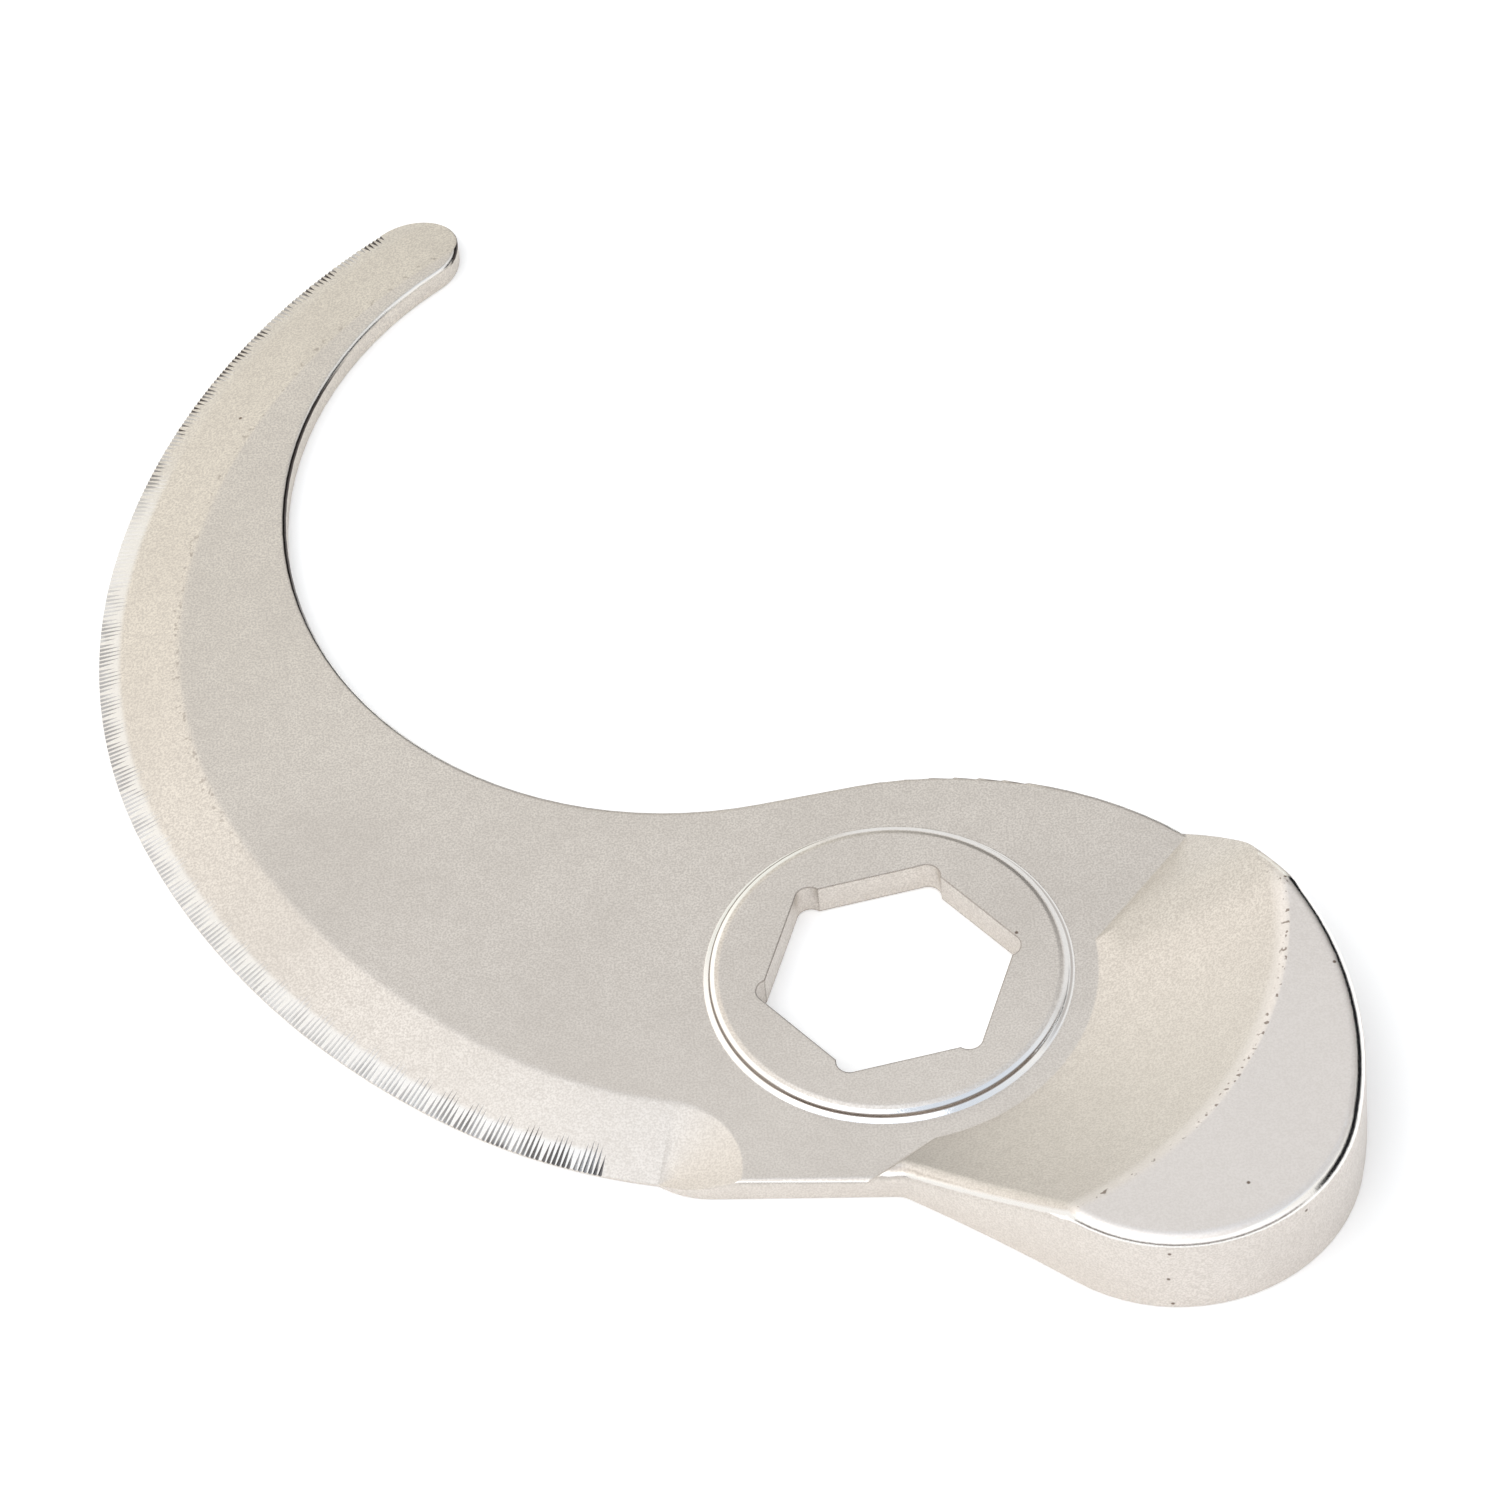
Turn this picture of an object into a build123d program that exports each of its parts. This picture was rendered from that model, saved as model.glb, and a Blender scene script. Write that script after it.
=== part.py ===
"""Serrated sickle blade of a cutter-mixer: one stainless casting, ground along its outer edge.

Millimetres. Z runs up the drive axis, and the flat underside lies on Z = 0.
"""

import os
from math import atan2, cos, degrees, hypot, radians, sin, sqrt, tan

from build123d import *

# Hub
drive_across_flats = 36.0
drive_turn = 9.18
relief_radius = 2.2
relief_depth = 0.8
boss_radius = 28.0
boss_height = 5.65
boss_top_ease = (1.5, 0.5)
boss_foot_ease = (0.9, 0.45)

# Plate
plate_thickness = 4.1
edge_round = 0.9

# Far side of the hub, a short straight, then the inner side of the sickle
far_centre = (5.1, -27.5)
far_radius = 65.9
hub_straight = 15.5
inner_radius = 64.5
inner_bearing = 103.2

# Counterweight lobe and the waist beside it
lobe_height = 16.7
lobe_radius = 28.0
lobe_bearing = -15.3
lobe_leave_angle = 230.0
lobe_round = 2.2
waist_point = (-1.3, -39.8)
waist_round = 4.0
rim_offset = (4.0737, -2.9675)
heel_round = 15.0
heel_lead = 0.5

# Round tip, and the cutting edge from there to its heel as arcs that run into each other
tip_radius = 7.8
tip_bearing = 124.6
tip_angle = 123.8
edge_radii = (115.9, 96.2, 131.8, 92.9)
edge_turns = (164.2, 200.2, 234.0, 254.8)

# Bevel ground from the top
bevel_width = 13.2
edge_land = 0.4
bevel_overrun = 8.0
heel_sweep_start = -75.0

# Ramp from the boss up to the lobe, turned about the drive axis
ramp_foot_radius = 32.6
ramp_crest_radius = 61.6
ramp_hollow = 0.8
crest_round = 3.0

# Sloping flank at the far end of the ramp, and the short end face beside the waist
flank_point = (33.4, 3.8)
flank_direction = 48.85
flank_slope = 33.5
ramp_end_point = (-6.4, -39.3)
ramp_end_direction = 32.7
ramp_end_slope = 55.0
ramp_end_lead = 12.0
ramp_end_length = 19.0
ramp_start_angle = -100.0
ramp_end_angle = 50.0

# Serration
scallop_pitch = 5.2
groove_lengths = (3.4, 4.6, 5.2, 5.2, 4.6, 3.4)
stretch_shares = (0.48, 0.76, 0.9, 1.0)
groove_pitch = 0.82
groove_width = 0.66
groove_foot = 0.08
groove_spare = 1.12
serration_start = 0.5
serration_end = 4.8

# Room that the cutting tools take beyond the metal
clear = 3.0


def at(centre, radius, angle):
    return (centre[0] + radius * cos(radians(angle)), centre[1] + radius * sin(radians(angle)))


def upright(centre, angle):
    # Plane whose x runs outward from a vertical line at this bearing, and whose y runs up
    outward = radians(angle)
    return Plane((centre[0], centre[1], 0), (cos(outward), sin(outward), 0), (sin(outward), -cos(outward), 0))


# Centres that follow from arcs running into each other
inner_centre = at(far_centre, hypot(inner_radius + far_radius, hub_straight), inner_bearing)
touch_angle = inner_bearing - 180 - degrees(atan2(hub_straight, inner_radius + far_radius))
inner_touch = at(inner_centre, inner_radius, touch_angle)
far_touch = at(far_centre, far_radius, touch_angle + 180)
lobe_centre = at(far_centre, far_radius - lobe_radius, lobe_bearing)
tip_centre = at(inner_centre, inner_radius + tip_radius, tip_bearing)
edge_arcs = []
edge_centre, edge_radius, edge_angle = tip_centre, tip_radius, tip_angle
for radius, turn in zip(edge_radii, edge_turns):
    edge_centre = at(edge_centre, edge_radius - radius, edge_angle)
    edge_arcs.append((edge_centre, radius, edge_angle, turn))
    edge_radius, edge_angle = radius, turn
heel_point = at(edge_centre, edge_radius, edge_angle)

# Corner beside the heel, rounded within the short straight that leads to it
rim_point = (heel_point[0] + rim_offset[0], heel_point[1] + rim_offset[1])
heel_heading = atan2(rim_offset[1], rim_offset[0])
rim_heading = atan2(waist_point[1] - rim_point[1], waist_point[0] - rim_point[0])
rim_round = min(heel_round, (hypot(*rim_offset) - heel_lead) / tan((rim_heading - heel_heading) / 2))

# Reliefs beside the hexagon's corners
relief_reach = drive_across_flats / 2 + relief_depth - relief_radius
relief_half_length = sqrt(relief_radius**2 - (relief_radius - relief_depth) ** 2)
relief_side = drive_across_flats / 2 * tan(radians(30)) - relief_half_length

lobe_leave = at(lobe_centre, lobe_radius, lobe_leave_angle)
lobe_bottom = (lobe_centre[0], lobe_centre[1] - lobe_radius)
lobe_heading = radians(lobe_leave_angle - 90)

with BuildSketch() as outline:
    with BuildLine():
        for centre, radius, start, end in edge_arcs:
            CenterArc(centre, radius, start, end - start)
        Polyline(heel_point, rim_point, waist_point)
        TangentArc(lobe_leave, waist_point, tangent=(cos(lobe_heading), sin(lobe_heading)))
        CenterArc(lobe_centre, lobe_radius, lobe_leave_angle - 360, lobe_bearing - lobe_leave_angle + 360)
        CenterArc(far_centre, far_radius, lobe_bearing, touch_angle + 180 - lobe_bearing)
        Line(far_touch, inner_touch)
        CenterArc(inner_centre, inner_radius, tip_bearing, touch_angle + 360 - tip_bearing)
        CenterArc(tip_centre, tip_radius, tip_bearing - 180, tip_angle - tip_bearing + 180)
    make_face()
    fillet(outline.vertices().sort_by_distance(waist_point)[0], waist_round)
    fillet(outline.vertices().sort_by_distance(rim_point)[0], rim_round)

# Counterweight: what stays of a tall outline under the turned ramp, between its flank and its end face
ramp_middle = ((ramp_foot_radius + ramp_crest_radius) / 2, (plate_thickness + lobe_height) / 2 - ramp_hollow)
ramp_reach = 2 * ramp_crest_radius


def slope_cutter(point, direction, slope, before, after):
    # Wedge above a plane that climbs to the right, through a straight foot line on the plate
    rise = 2 * (lobe_height - plate_thickness)
    start = at(point, before, direction + 180)
    with BuildPart() as wedge:
        with BuildSketch(upright(start, direction - 90)):
            Polygon(
                (-plate_thickness / tan(radians(slope)), 0),
                (rise / tan(radians(slope)), plate_thickness + rise),
                (-boss_radius, plate_thickness + rise),
                (-boss_radius, 0),
                align=None,
            )
        extrude(amount=-before - after)
    return wedge.part


with BuildPart() as counterweight:
    with BuildSketch(upright((0, 0), ramp_start_angle)) as ramp_profile:
        with BuildLine():
            ThreePointArc((ramp_foot_radius, plate_thickness), ramp_middle, (ramp_crest_radius, lobe_height))
            Polyline(
                (ramp_crest_radius, lobe_height),
                (ramp_reach, lobe_height),
                (ramp_reach, 0),
                (ramp_foot_radius, 0),
                (ramp_foot_radius, plate_thickness),
            )
        make_face()
        fillet(ramp_profile.vertices().sort_by_distance((ramp_crest_radius, lobe_height))[0], crest_round)
    revolve(axis=Axis.Z, revolution_arc=ramp_end_angle - ramp_start_angle)
    with BuildSketch():
        add(outline.sketch)
    extrude(amount=lobe_height, mode=Mode.INTERSECT)
    fillet(counterweight.edges().sort_by_distance((*lobe_bottom, lobe_height))[0], lobe_round)
    add(slope_cutter(flank_point, flank_direction, flank_slope, clear, 2 * boss_radius), mode=Mode.SUBTRACT)
    end_cut = slope_cutter(ramp_end_point, ramp_end_direction, ramp_end_slope, ramp_end_lead, ramp_end_length)
    add(end_cut, mode=Mode.SUBTRACT)

# Boss: eased all round at the top, and again where it meets the plate
with BuildPart() as boss:
    with BuildSketch(Plane.XZ):
        Polygon(
            (0, 0),
            (boss_radius + boss_foot_ease[0], 0),
            (boss_radius + boss_foot_ease[0], plate_thickness),
            (boss_radius, plate_thickness + boss_foot_ease[1]),
            (boss_radius, boss_height - boss_top_ease[1]),
            (boss_radius - boss_top_ease[0], boss_height),
            (0, boss_height),
            align=None,
        )
    revolve(axis=Axis.Z)

# Bevel: one tool for each arc of the cutting edge, and a cone about the heel where it runs out
bevel_slope = (plate_thickness - edge_land) / bevel_width
bevel_inset = bevel_width + clear
bevel_top = edge_land + bevel_slope * bevel_inset


def bevel_cutter(centre, radius, start, end):
    with BuildPart() as cutter:
        with BuildSketch(upright(centre, start)):
            Polygon(
                (radius - bevel_inset, bevel_top),
                (radius, edge_land),
                (radius + clear, edge_land),
                (radius + clear, bevel_top),
                align=None,
            )
        revolve(axis=Axis((*centre, 0), (0, 0, 1)), revolution_arc=end - start)
    return cutter.part


with BuildPart() as run_out:
    with BuildSketch(upright(heel_point, heel_sweep_start)):
        Polygon((0, edge_land), (bevel_inset, bevel_top), (0, bevel_top), align=None)
    revolve(axis=Axis((*heel_point, 0), (0, 0, 1)), revolution_arc=edge_angle - 180 - heel_sweep_start)


edge_length = sum(radius * radians(end - start) for centre, radius, start, end in edge_arcs)
scallop_count = int((edge_length - serration_start - serration_end) / scallop_pitch)
scallop_marks = [serration_start + (count + 0.5) * scallop_pitch for count in range(scallop_count)]


def edge_place(distance):
    # Frame on the cutting edge this far from the tip, with x running outward
    for centre, radius, start, end in edge_arcs:
        length = radius * radians(end - start)
        if distance <= length:
            break
        distance -= length
    angle = start + degrees(distance / radius)
    return Location((*at(centre, radius, angle), 0), (0, 0, angle))


def groove_cutter(length):
    # V-shaped groove, deepest at the edge, that comes out of the bevel at this length
    climb = (edge_land + bevel_slope * length - groove_foot) / length
    spread = groove_width / 2 / (edge_land - groove_foot)
    top = groove_spare * (edge_land - groove_foot)
    start = (clear, 0, groove_foot - clear * climb)
    with BuildPart() as cutter:
        with BuildSketch(Plane(start, (0, -1, 0), (-1, 0, climb))):
            Polygon((0, 0), (top * spread, top), (-top * spread, top), align=None)
        extrude(amount=(length + clear) * hypot(1, climb))
    return cutter.part


with BuildPart() as blade:
    with BuildSketch():
        add(outline.sketch)
    extrude(amount=plate_thickness)
    fillet(blade.faces().sort_by(Axis.Z)[-1].edges(), edge_round)
    add(counterweight.part)
    add(boss.part)
    tip_overrun = (*edge_arcs[0][:2], tip_angle - bevel_overrun, tip_angle)
    for arc in (tip_overrun, *edge_arcs):
        add(bevel_cutter(*arc), mode=Mode.SUBTRACT)
    add(run_out.part, mode=Mode.SUBTRACT)

    # Drive hexagon, relieved beside each corner
    with BuildSketch():
        RegularPolygon(drive_across_flats / 2, 6, major_radius=False, rotation=drive_turn)
        with PolarLocations(0, 6, start_angle=drive_turn - 30):
            with Locations((relief_reach, relief_side)):
                Circle(relief_radius)
    extrude(amount=boss_height, mode=Mode.SUBTRACT)

    # Serration: scallops of fine grooves, longest in the middle of each, and longer towards the heel
    stretch_scallops = len(scallop_marks) / len(stretch_shares)
    for stretch, share in enumerate(stretch_shares):
        marks = scallop_marks[round(stretch * stretch_scallops) : round((stretch + 1) * stretch_scallops)]
        for row, length in enumerate(groove_lengths):
            shift = (row - (len(groove_lengths) - 1) / 2) * groove_pitch
            with Locations(*[edge_place(mark + shift) for mark in marks]):
                add(groove_cutter(share * length), mode=Mode.SUBTRACT)

blade.part.label = "serrated_blade"
os.makedirs("parts", exist_ok=True)
export_step(blade.part, "parts/serrated_blade.step")
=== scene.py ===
import bpy
from mathutils import Matrix, Vector


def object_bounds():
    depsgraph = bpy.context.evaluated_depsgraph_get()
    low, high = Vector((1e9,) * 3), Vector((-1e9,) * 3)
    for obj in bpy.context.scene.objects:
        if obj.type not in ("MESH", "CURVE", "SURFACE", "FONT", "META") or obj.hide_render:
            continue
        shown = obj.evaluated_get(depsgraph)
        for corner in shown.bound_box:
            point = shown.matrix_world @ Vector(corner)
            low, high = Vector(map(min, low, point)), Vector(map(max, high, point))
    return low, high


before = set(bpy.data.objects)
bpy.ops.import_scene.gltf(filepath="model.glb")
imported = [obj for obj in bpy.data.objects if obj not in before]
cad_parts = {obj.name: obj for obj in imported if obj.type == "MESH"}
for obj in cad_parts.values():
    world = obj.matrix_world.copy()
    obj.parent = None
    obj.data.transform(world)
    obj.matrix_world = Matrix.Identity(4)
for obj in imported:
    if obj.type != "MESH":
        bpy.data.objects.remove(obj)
cadBox = [list(corner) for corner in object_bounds()]
scene = bpy.context.scene
scene.view_settings.view_transform = "Standard"
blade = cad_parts["serrated_blade"]
print("blade loaded")


# a node with its settings and what goes into it, wires or plain values
def addNode(tree, kind, inputs=None, **settings):
    node = tree.nodes.new(kind)
    for name, value in settings.items():
        setattr(node, name, value)
    for name, value in (inputs or {}).items():
        if isinstance(value, bpy.types.NodeSocket):
            tree.links.new(value, node.inputs[name])
        else:
            node.inputs[name].default_value = value
    return node


def mathNode(tree, operation, first, second=0.0):
    return addNode(tree, "ShaderNodeMath", {0: first, 1: second}, operation=operation).outputs[0]


def allOf(tree, first, *others):
    for other in others:
        first = mathNode(tree, "MULTIPLY", first, other)
    return first


def anyOf(tree, first, *others):
    for other in others:
        first = mathNode(tree, "MAXIMUM", first, other)
    return first


# goes from start to end as the amount goes from 0 to 1
def spread(tree, amount, start, end):
    return mathNode(tree, "ADD", mathNode(tree, "MULTIPLY", amount, end - start), start)


# 0 to 1 as the value passes from low to high
def ramped(tree, value, low, high):
    inputs = {"Value": value, "From Min": low, "From Max": high}
    return addNode(tree, "ShaderNodeMapRange", inputs, interpolation_type="SMOOTHSTEP").outputs["Result"]


# how much all the limits hold: each names a reading, where it starts to count and where it counts fully
def within(tree, readings, limits):
    return allOf(tree, *[ramped(tree, readings[name], low, high) for name, low, high in limits])


def mixed(tree, factor, first, second, kind="RGBA"):
    slot, result = {"RGBA": (6, 2), "VECTOR": (4, 1)}[kind]  # the mix node has sockets for every kind
    inputs = {0: factor, slot: first, slot + 1: second}
    return addNode(tree, "ShaderNodeMix", inputs, data_type=kind).outputs[result]


# blade steel: bead blasted all over, bright from grinding along the serration, polished on its rounded
# edges; its colour also holds painted highlights, painted shade and painted dark reflection lines
steel = {
    "blasted": (0.765, 0.718, 0.668, 1),
    "shade": (0.530, 0.487, 0.445, 1),
    "tipwardTone": (0.778, 0.726, 0.648, 1),  # yellower towards the tip
    "counterweightLight": (0.795, 0.750, 0.715, 1),  # painted light: a lighter tone on the counterweight's top and walls
    # polished steel, lighter as a painted highlight on near-facing rounds and on the boss ring
    "polishAndHighlight": (0.90, 0.885, 0.865, 1),
    "edgeSteel": (0.80, 0.79, 0.775, 1),
    # pits and specks, and also painted shade and painted dark reflection lines
    "stainAndShade": (0.20, 0.155, 0.125, 1),
    # painted shade and dark reflections: groove walls, the tip's grooves and the inner edge's line
    "paintedBlack": (0.060, 0.047, 0.043, 1),
    "noise": {"cloud": (30.0, 3.0), "blotch": (420.0, 2.0), "grain": (3200.0, 1.0),  # scale and detail
              "speck": (1100.0, 1.0), "patch": (190.0, 1.0)},
    "speckleTone": 0.75,
    "lobeGrain": (1.0, 0.35),  # grain off and on the counterweight's top
    "halfGrain": (0.7, 1.0),  # and on the near and the far half
    "grainDepth": 0.00003,
    "grainStrength": 0.25,
    "roughBlasted": (0.40, 0.48),
    "roughPolished": 0.09,
    "bandPolish": 0.2,
    "bandToTip": (1.0, 0.1),  # the ground band fades out towards the tip
    "wallDark": 0.42,  # painted shade on the groove walls: everywhere, and at the tip
    "tipWallDark": 0.95,
    "wallPatches": (0.55, 1.0),
    "tipShadePatches": (0.4, 0.95),
    "roundStart": (0.3, 0.5),  # steepest slope of the polished rounds with their painted highlight, on the lobe and below it
    "roundEnd": (0.82, 0.97),  # flattest one, elsewhere and facing right
    "roundFade": 0.1,
    "edgeCentre": (-0.010, 0.074, 0.0),  # of the circle the cutting edge nearly follows
    "awayHeading": (0.75, 0.66, 0.0),
    "soften": (0.0004, 0.0014),  # wider where the bevel meets the plate
    "softenSamples": 4,
    "hipFoot": (0.0325, 0.00275, 0.0041),  # lower end of the edge between ramp and flank
    "hipAcross": (-0.137, 0.991, 0.0),
    "hipNormal": (-0.414, 0.163, 0.892),
    "pitFade": (0.0004, 0.00016),
    "pits": [(-0.05325, -0.01496, 0.0026), (-0.04769, -0.02208, 0.0022), (-0.0895, 0.00802, 0.003),
             (-0.09572, 0.1269, 0.003), (0.06794, -0.0155, 0.0167), (0.05042, -0.05548, 0.0167),
             (0.0623, 0.0021, 0.0165), (-0.01254, 0.01496, 0.0056), (0.02036, 0.00442, 0.0056),
             (-0.00884, -0.01854, 0.0056), (-0.02852, -0.03229, 0.0041), (0.03737, -0.06517, 0.0137),
             (0.03705, -0.06512, 0.0072), (0.03755, -0.0652, 0.0009), (0.05869, -0.05973, 0.014)],
    # places on the blade: strength, then limits
    "places": {
        "bevelTop": (1.0, ("edgeReach", 0.088, 0.090), ("across", -0.028, -0.032), ("along", 0.115, 0.105),
                     ("height", 0.0026, 0.0032)),
        "tip": (1.0, ("along", 0.105, 0.125)),
        "grooveWall": (1.0, ("height", 0.0022, 0.0019), ("up", 0.94, 0.90), ("up", 0.1, 0.25)),
        "toothTop": (0.7, ("height", 0.0015, 0.0012), ("up", 0.90, 0.94), ("across", -0.046, -0.049)),
        # groove walls facing one way below the tip and the other way towards it, for the painted shade
        "nearWall": (1.0, ("turn", 0.2, 0.45), ("along", 0.105, 0.085)),
        "farWall": (1.0, ("turn", -0.2, -0.45), ("along", 0.085, 0.105)),
        "heel": (0.85, ("across", -0.085, -0.062)),
        "leftSide": (0.6, ("along", 0.03, 0.055)),
        "tipShadeFoot": (1.0, ("height", 0.0011, 0.0007)),
        "belowLobe": (1.0, ("height", 0.0145, 0.0135)),
        "facingRight": (1.0, ("right", 0.1, 0.25)),
        "facingNear": (1.0, ("far", 0.5, 0.35)),
        "ring": (1.0, ("reach", 0.0270, 0.0273), ("reach", 0.0292, 0.0289), ("up", 0.99, 0.97)),
        "turnedAway": (1.0, ("away", 0.05, 0.2)),
        "turnedNear": (1.0, ("away", 0.2, 0.05)),
        # boss ring marks, all painted: a highlight line on its far side, a dark reflection line across its
        # near side, a faint shade line at its far foot
        "ringTop": (0.7, ("reach", 0.0271, 0.0275)),
        "ringLine": (0.85, ("reach", 0.0277, 0.0279), ("reach", 0.0282, 0.0280)),
        "ringFoot": (0.5, ("reach", 0.0281, 0.0283), ("reach", 0.0287, 0.0285)),
        # painted dark reflection line along the arm's inner edge
        "innerLine": (0.97, ("away", 0.2, 0.32), ("up", 0.1, 0.2), ("up", 0.985, 0.95),
                      ("along", 0.065, 0.095), ("across", 0.0, -0.02), ("height", 0.0022, 0.0030)),
        # painted dark reflection line on the far-facing rounds
        "farLine": (0.75, ("far", 0.45, 0.6), ("up", 0.1, 0.2), ("height", 0.002, 0.003),
                    ("along", 0.0, 0.02)),
        "crest": (0.8, ("reach", 0.0588, 0.0596), ("reach", 0.0632, 0.0624), ("up", 0.996, 0.986),
                  ("up", 0.935, 0.955), ("height", 0.0155, 0.0158)),
        "bevelLine": (0.35, ("height", 0.0036, 0.0038), ("up", 0.985, 0.97), ("up", 0.94, 0.95),
                      ("along", 0.02, 0.05)),
        # painted shade along the hexagon's sharp edges
        "hexagonEdge": (0.85, ("eased", 0.99, 0.93), ("reach", 0.0238, 0.0228)),
        # painted shade on the near-facing round of the ramp's edge
        "rampEdge": (0.35, ("far", -0.12, -0.3), ("up", 0.80, 0.88), ("reach", 0.0315, 0.0325),
                     ("height", 0.0145, 0.0135), ("height", 0.0042, 0.005)),
        # the counterweight's top and walls: painted light on both, and less grain on the top
        "lobeTop": (1.0, ("height", 0.0155, 0.0163)),
        "lobeSide": (0.6, ("across", 0.015, 0.05), ("up", 0.6, 0.4)),
        "farHalf": (1.0, ("along", -0.03, 0.01)),
        "towardsTip": (1.0, ("along", 0.0, 0.1)),
        "clouds": (0.3, ("cloud", 0.7, 0.3)),
        "blotches": (0.15, ("blotch", 0.62, 0.38)),
        "speckle": (1.0, ("grain", 0.3, 0.7)),
        "specks": (1.0, ("speck", 0.60, 0.68)),
        "patches": (1.0, ("patch", 0.38, 0.58)),
        "grooves": (1.0, ("height", 0.0027, 0.0022)),
        "hip": (1.0, ("hipGap", 0.009, 0.0), ("height", 0.0042, 0.0056), ("up", 0.985, 0.95),
                ("up", 0.65, 0.75), ("across", 0.030, 0.034)),
    },
}


def makeSteel():
    material = bpy.data.materials.new("bladeSteel")
    material.use_nodes = True
    tree = material.node_tree
    shader = tree.nodes["Principled BSDF"]
    point = addNode(tree, "ShaderNodeTexCoord").outputs["Object"]
    normal = addNode(tree, "ShaderNodeNewGeometry").outputs["Normal"]
    spot = addNode(tree, "ShaderNodeSeparateXYZ", {0: point}).outputs
    facing = addNode(tree, "ShaderNodeSeparateXYZ", {0: normal}).outputs

    def vector(operation, first, second=(0, 0, 0), result="Vector"):
        node = addNode(tree, "ShaderNodeVectorMath", {0: first, 1: second}, operation=operation)
        return node.outputs[result]

    def number(operation, first, second=(0, 0, 0)):
        return vector(operation, first, second, "Value")

    # readings that the places are told by
    inPlan = (1, 1, 0)
    fromCentre = vector("MULTIPLY", vector("SUBTRACT", point, steel["edgeCentre"]), inPlan)
    edgeRun = vector("NORMALIZE", vector("CROSS_PRODUCT", (0, 0, 1), fromCentre))
    fromHip = number("DOT_PRODUCT", vector("SUBTRACT", point, steel["hipFoot"]), steel["hipAcross"])
    readings = {
        "across": spot["X"], "along": spot["Y"], "height": spot["Z"],
        "right": facing["X"], "far": facing["Y"], "up": facing["Z"],
        "reach": number("LENGTH", vector("MULTIPLY", point, inPlan)),
        "edgeReach": number("LENGTH", fromCentre),
        "turn": number("DOT_PRODUCT", normal, edgeRun),
        "away": number("DOT_PRODUCT", normal, steel["awayHeading"]),
        "hipGap": mathNode(tree, "ABSOLUTE", fromHip),
    }
    for name, (scale, detail) in steel["noise"].items():
        inputs = {"Vector": point, "Scale": scale, "Detail": detail}
        readings[name] = addNode(tree, "ShaderNodeTexNoise", inputs).outputs["Fac"]

    def at(name):
        strength, *limits = steel["places"][name]
        return allOf(tree, within(tree, readings, limits), strength)

    soften = spread(tree, at("bevelTop"), *steel["soften"])
    bevel = addNode(tree, "ShaderNodeBevel", {"Radius": soften}, samples=steel["softenSamples"])
    edge = bevel.outputs["Normal"]
    readings["eased"] = number("DOT_PRODUCT", edge, normal)

    # serration: painted shade on one wall of each groove, most of all at the heel and towards the tip
    tip, wall, patches = at("tip"), at("grooveWall"), at("patches")
    band = allOf(tree, anyOf(tree, wall, at("toothTop")), spread(tree, tip, *steel["bandToTip"]))
    dim = anyOf(tree, at("heel"), at("leftSide"), allOf(tree, tip, steel["tipWallDark"]), steel["wallDark"])
    groove = allOf(tree, anyOf(tree, at("nearWall"), at("farWall")), dim,
                   spread(tree, patches, *steel["wallPatches"]))
    # painted shade deep in the grooves near the tip, in patches
    tipGrooveShade = allOf(tree, tip, at("tipShadeFoot"), spread(tree, patches, *steel["tipShadePatches"]))
    black = anyOf(tree, allOf(tree, wall, anyOf(tree, groove, tipGrooveShade)), at("innerLine"))

    # polished rounds, with a painted highlight where they face the near side: full on the lobe, narrower
    # below it, wider where they face right
    steepest = spread(tree, at("belowLobe"), *steel["roundStart"])
    flattest = spread(tree, at("facingRight"), *steel["roundEnd"])
    belowFlattest = mathNode(tree, "SUBTRACT", flattest, steel["roundFade"])
    aboveSteepest = mathNode(tree, "ADD", steepest, steel["roundFade"])
    rounded = within(tree, readings, [("up", flattest, belowFlattest), ("up", steepest, aboveSteepest)])
    rounded = allOf(tree, rounded, at("facingNear"))
    # the boss ring: its near side takes the rounds' painted highlight
    ring = at("ring")
    ringNear, ringAway = allOf(tree, ring, at("turnedNear")), allOf(tree, ring, at("turnedAway"))
    bright = anyOf(tree, rounded, ringNear)

    # dark places: pits and specks along the crest and the bevel's edge, then painted shade and painted dark
    # reflections: lines round the boss, a line on the far rounds, the hexagon's edges and the ramp's near
    # edge
    pitted = 0.0
    for centre in steel["pits"]:
        pitted = anyOf(tree, ramped(tree, number("DISTANCE", point, centre), *steel["pitFade"]), pitted)
    dark = anyOf(tree, pitted, allOf(tree, ringNear, at("ringLine")), allOf(tree, ringAway, at("ringFoot")),
                 allOf(tree, anyOf(tree, at("crest"), at("bevelLine")), at("specks")),
                 at("farLine"), at("hexagonEdge"), at("rampEdge"))

    # the near half and the counterweight's top show less grain
    lobeTop, speckle = at("lobeTop"), at("speckle")
    mottle = allOf(tree, spread(tree, lobeTop, *steel["lobeGrain"]),
                   spread(tree, at("farHalf"), *steel["halfGrain"]))
    coats = [(at("towardsTip"), "tipwardTone"),
             (anyOf(tree, lobeTop, at("lobeSide")), "counterweightLight"),
             (allOf(tree, at("clouds"), mottle), "shade"),
             (allOf(tree, at("blotches"), mottle), "shade"),
             (allOf(tree, speckle, mottle, steel["speckleTone"]), "shade"),
             (anyOf(tree, bright, allOf(tree, ringAway, at("ringTop"))), "polishAndHighlight"),
             (band, "edgeSteel"),
             (dark, "stainAndShade"),
             (black, "paintedBlack")]
    tone = steel["blasted"]
    for amount, colour in coats:
        tone = mixed(tree, amount, tone, steel[colour])
    tree.links.new(tone, shader.inputs["Base Color"])

    polish = anyOf(tree, bright, allOf(tree, band, steel["bandPolish"]))
    smoother = allOf(tree, polish, steel["roughPolished"] - steel["roughBlasted"][0])
    rough = mathNode(tree, "ADD", spread(tree, speckle, *steel["roughBlasted"]), smoother)
    tree.links.new(rough, shader.inputs["Roughness"])

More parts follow.
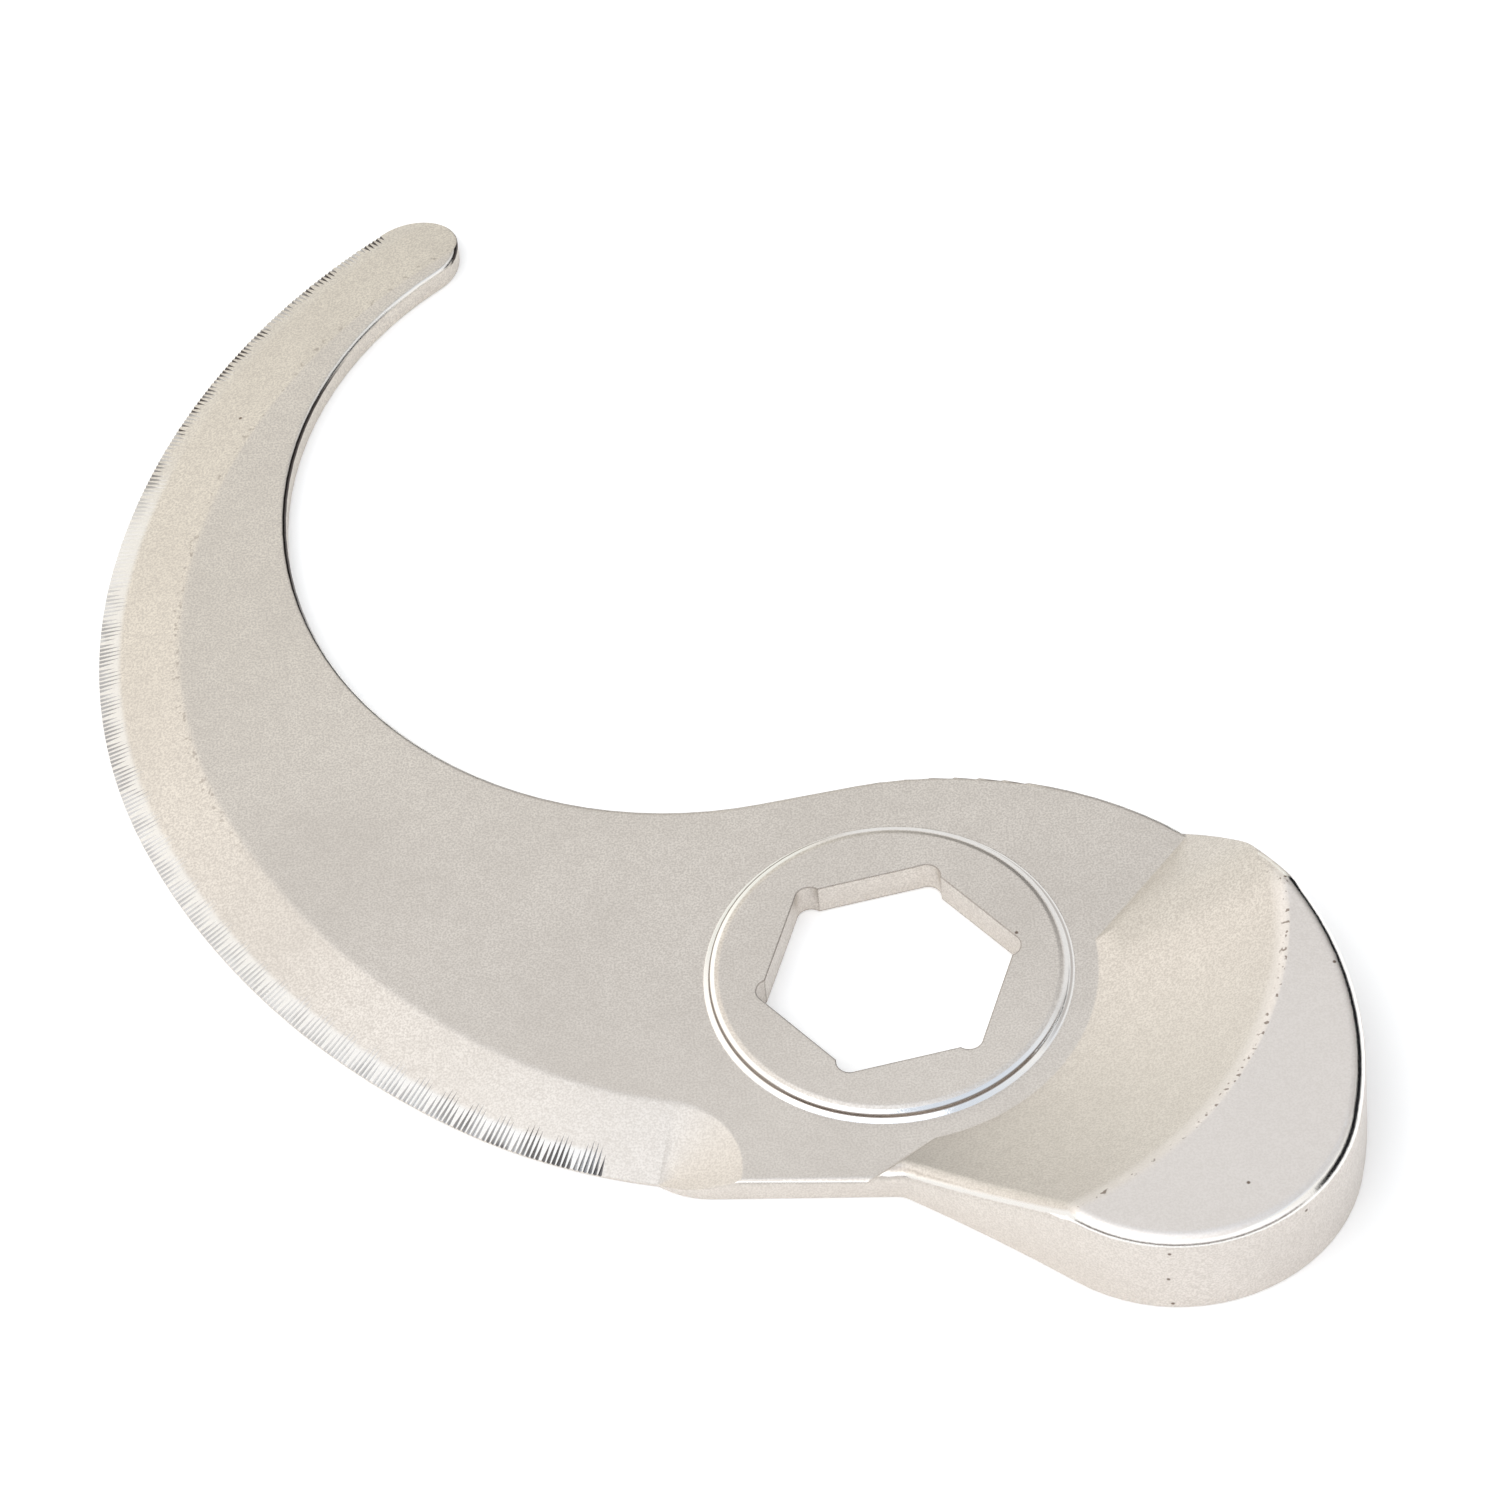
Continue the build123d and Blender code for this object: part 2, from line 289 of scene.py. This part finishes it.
    # sharp edges are eased, apart from the fine grooves, most of all between ramp and flank
    eased = mixed(tree, at("grooves"), edge, normal, "VECTOR")
    eased = mixed(tree, at("hip"), eased, steel["hipNormal"], "VECTOR")
    eased = mixed(tree, ringAway, eased, (0, 0, 1), "VECTOR")  # the far side of the boss barely shows
    inputs = {"Strength": steel["grainStrength"], "Distance": steel["grainDepth"],
              "Height": readings["grain"], "Normal": eased}
    bump = addNode(tree, "ShaderNodeBump", inputs)
    tree.links.new(bump.outputs["Normal"], shader.inputs["Normal"])
    shader.inputs["Metallic"].default_value = 1.0
    return material


blade.data.materials[0] = makeSteel()
print("steel done")

# floor: white paper, lifted a little where it is seen
paper = {"half": 2.5, "drop": 0.0002, "colour": (0.98, 0.98, 0.98, 1), "roughness": 0.9,
         "glow": 0.17, "glowColour": (1, 1, 1, 1)}


def makeFloor():
    half = paper["half"]
    low = cadBox[0][2] - paper["drop"]
    mesh = bpy.data.meshes.new("floor")
    mesh.from_pydata([(-half, -half, low), (half, -half, low), (half, half, low), (-half, half, low)],
                     [], [(0, 1, 2, 3)])
    floor = bpy.data.objects.new("floor", mesh)
    scene.collection.objects.link(floor)
    material = bpy.data.materials.new("floorPaper")
    material.use_nodes = True
    tree = material.node_tree
    shader = tree.nodes["Principled BSDF"]
    shader.inputs["Base Color"].default_value = paper["colour"]
    shader.inputs["Roughness"].default_value = paper["roughness"]
    shader.inputs["Emission Color"].default_value = paper["glowColour"]
    ray = addNode(tree, "ShaderNodeLightPath").outputs
    seen = anyOf(tree, ray["Is Camera Ray"], ray["Is Glossy Ray"], ray["Is Transmission Ray"])
    tree.links.new(allOf(tree, seen, paper["glow"]), shader.inputs["Emission Strength"])
    mesh.materials.append(material)


makeFloor()
print("floor done")

# studio: a pale tent with panels in it, each a colour and its limits, the later ones over the earlier
studio = {
    "tent": (1.03, 1.014, 0.985, 1),
    "panels": {
        "overhead": ((0.73, 0.80, 0.90, 1), ("rise", 0.72, 0.96)),
        "farLow": ((0.955, 0.962, 0.905, 1), ("away", 0.6, 0.85), ("rise", 0.6, 0.4)),
        "left": ((1.34, 1.30, 1.23, 1), ("across", -0.02, -0.4), ("rise", 0.35, 0.55),
                 ("rise", 0.97, 0.82)),
        "front": ((1.22, 1.22, 1.22, 1), ("away", -0.35, -0.6)),
        "frontLow": ((0.22, 0.19, 0.17, 1), ("away", -0.35, -0.6), ("rise", 0.3, 0.2)),
        "darkCard": ((0.01, 0.01, 0.012, 1), ("cardSide", 0.5, 0.65), ("rise", 0.61, 0.53)),
    },
    "cardHeading": (0.82, 0.57, 0.0),
    "strength": 1.0,
    "lampPlace": (-0.5, -0.5, 1.6),
    "lampSize": 1.4,
    "lampPower": 6.5,
}


def makeStudio():
    world = bpy.data.worlds.new("studio")
    scene.world = world
    world.use_nodes = True
    tree = world.node_tree
    heading = addNode(tree, "ShaderNodeTexCoord").outputs["Generated"]
    axes = addNode(tree, "ShaderNodeSeparateXYZ", {0: heading}).outputs
    cardSide = addNode(tree, "ShaderNodeVectorMath", {0: heading, 1: studio["cardHeading"]},
                       operation="DOT_PRODUCT")
    readings = {"across": axes["X"], "away": axes["Y"], "rise": axes["Z"],
                "cardSide": cardSide.outputs["Value"]}
    sky = studio["tent"]
    for colour, *limits in studio["panels"].values():
        sky = mixed(tree, within(tree, readings, limits), sky, colour)
    background = tree.nodes["Background"]
    tree.links.new(sky, background.inputs["Color"])
    background.inputs["Strength"].default_value = studio["strength"]
    light = bpy.data.lights.new("panel", "AREA")
    light.size = studio["lampSize"]
    light.energy = studio["lampPower"]
    lamp = bpy.data.objects.new("panel", light)
    lamp.location = studio["lampPlace"]
    lamp.rotation_euler = (-Vector(studio["lampPlace"])).to_track_quat("-Z", "Y").to_euler()
    scene.collection.objects.link(lamp)


makeStudio()
print("studio done")

# camera, at the photograph's angle
view = {"place": (-0.018137, -0.939310, 1.241086), "lens": 240.0, "sensor": 36.0, "clipEnd": 20.0,
        "right": (0.9953445, -0.0753621, -0.0600821),
        "up": (0.0963810, 0.7782780, 0.6204789),
        "back": (0.0, -0.6233810, 0.7819182)}


def makeCamera():
    lens = bpy.data.cameras.new("camera")
    lens.sensor_width = view["sensor"]
    lens.lens = view["lens"]
    lens.clip_end = view["clipEnd"]
    camera = bpy.data.objects.new("camera", lens)
    camera.matrix_world = Matrix((view["right"], view["up"], view["back"])).transposed().to_4x4()
    camera.location = view["place"]
    scene.collection.objects.link(camera)
    scene.camera = camera


makeCamera()
print("camera done")
